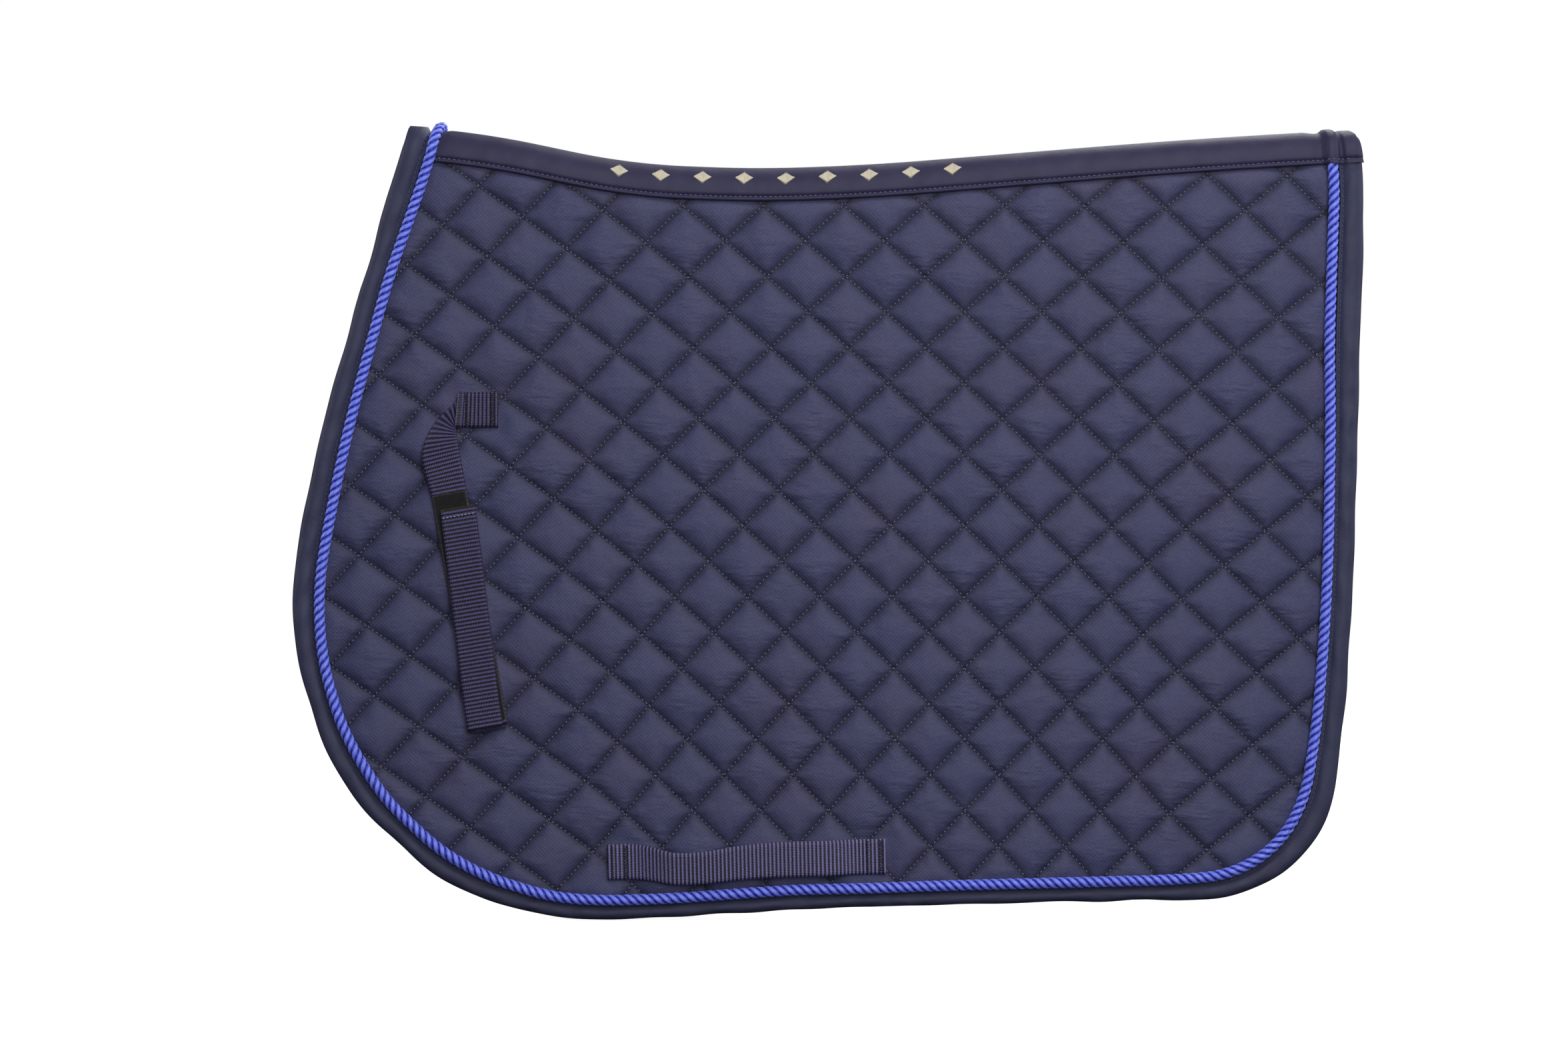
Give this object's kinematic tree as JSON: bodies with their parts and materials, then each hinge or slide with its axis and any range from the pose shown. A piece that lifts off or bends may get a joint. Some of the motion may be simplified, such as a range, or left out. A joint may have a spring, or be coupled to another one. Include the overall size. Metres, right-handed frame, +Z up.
{
  "type": "saddle pad",
  "caption": "Quilted English saddle pad folded along its contoured spine, with twisted rope trim, hook-and-loop billet straps and girth loops on both halves.",
  "frame": {"origin": "underside of the spine fold half way along the pad, where a rail or the horse's back carries it", "axes": "+X to the horse's rear, +Y to the horse's right side, +Z up; the left half is at -Y"},
  "size_m": [0.7503, 0.0606, 0.5644],
  "materials": {
    "quilted_twill": "navy cotton twill, matt, quilted in diamonds",
    "wadding": "white polyester fibre",
    "lining": "navy cotton lining, matt, quilted through",
    "binding_twill": "navy cotton twill tape, matt",
    "rope": "royal-blue satin yarn, twisted, glossy",
    "thread": "navy-grey sewing thread",
    "webbing": "ribbed polyester webbing, dark purple-navy, slight sheen",
    "loop_tape": "black velvety loop pile",
    "hook_tape": "black woven tape with fine hooks",
    "tack_thread": "dark sewing thread"
  },
  "bodies": {
    "left_half": {"outer_cover_left": "quilted_twill", "wadding_left": "wadding", "lining_left": "lining", "edge_binding_left": "binding_twill", "rope_trim_left": "rope", "quilting_thread_left": "thread", "cross_quilting_thread_left": "thread", "binding_thread_left": "thread", "band_thread_left": "thread", "billet_tab_left": "webbing", "billet_tacks_left": "tack_thread", "girth_loop_left": "webbing", "girth_tacks_left": "tack_thread", "spine_band": "binding_twill", "inner_spine_tape": "lining"},
    "right_half": {"outer_cover_right": "quilted_twill", "wadding_right": "wadding", "lining_right": "lining", "edge_binding_right": "binding_twill", "rope_trim_right": "rope", "quilting_thread_right": "thread", "cross_quilting_thread_right": "thread", "binding_thread_right": "thread", "band_thread_right": "thread", "billet_tab_right": "webbing", "billet_tacks_right": "tack_thread", "girth_loop_right": "webbing", "girth_tacks_right": "tack_thread"},
    "strap_left": {"billet_strap_left": "webbing", "loop_tape_left": "loop_tape"},
    "flap_left": {"billet_flap_left": "webbing", "hook_tape_left": "hook_tape"},
    "strap_right": {"billet_strap_right": "webbing", "loop_tape_right": "loop_tape"},
    "flap_right": {"billet_flap_right": "webbing", "hook_tape_right": "hook_tape"}
  },
  "joints": [
    {"name": "spine_fold", "type": "hinge", "parent": "left_half", "child": "right_half", "pos_m": [0, 0, 0.0485], "axis": [1, 0, 0], "range_deg": [0, 110], "deforming": ["spine_band", "inner_spine_tape"]},
    {"name": "billet_strap_lift_left", "type": "hinge", "parent": "left_half", "child": "strap_left", "pos_m": [-0.2624, -0.0226, -0.1714], "axis": [-0.9848, 0, -0.1736], "range_deg": [0, 120]},
    {"name": "billet_flap_peel_left", "type": "hinge", "parent": "strap_left", "child": "flap_left", "pos_m": [-0.22559, -0.02415, -0.38018], "axis": [0.9848, 0, 0.1736], "range_deg": [0, 145]},
    {"name": "billet_strap_lift_right", "type": "hinge", "parent": "right_half", "child": "strap_right", "pos_m": [-0.2624, 0.0226, -0.1714], "axis": [0.9848, 0, 0.1736], "range_deg": [0, 120]},
    {"name": "billet_flap_peel_right", "type": "hinge", "parent": "strap_right", "child": "flap_right", "pos_m": [-0.22559, 0.02415, -0.38018], "axis": [-0.9848, 0, -0.1736], "range_deg": [0, 145]}
  ]
}
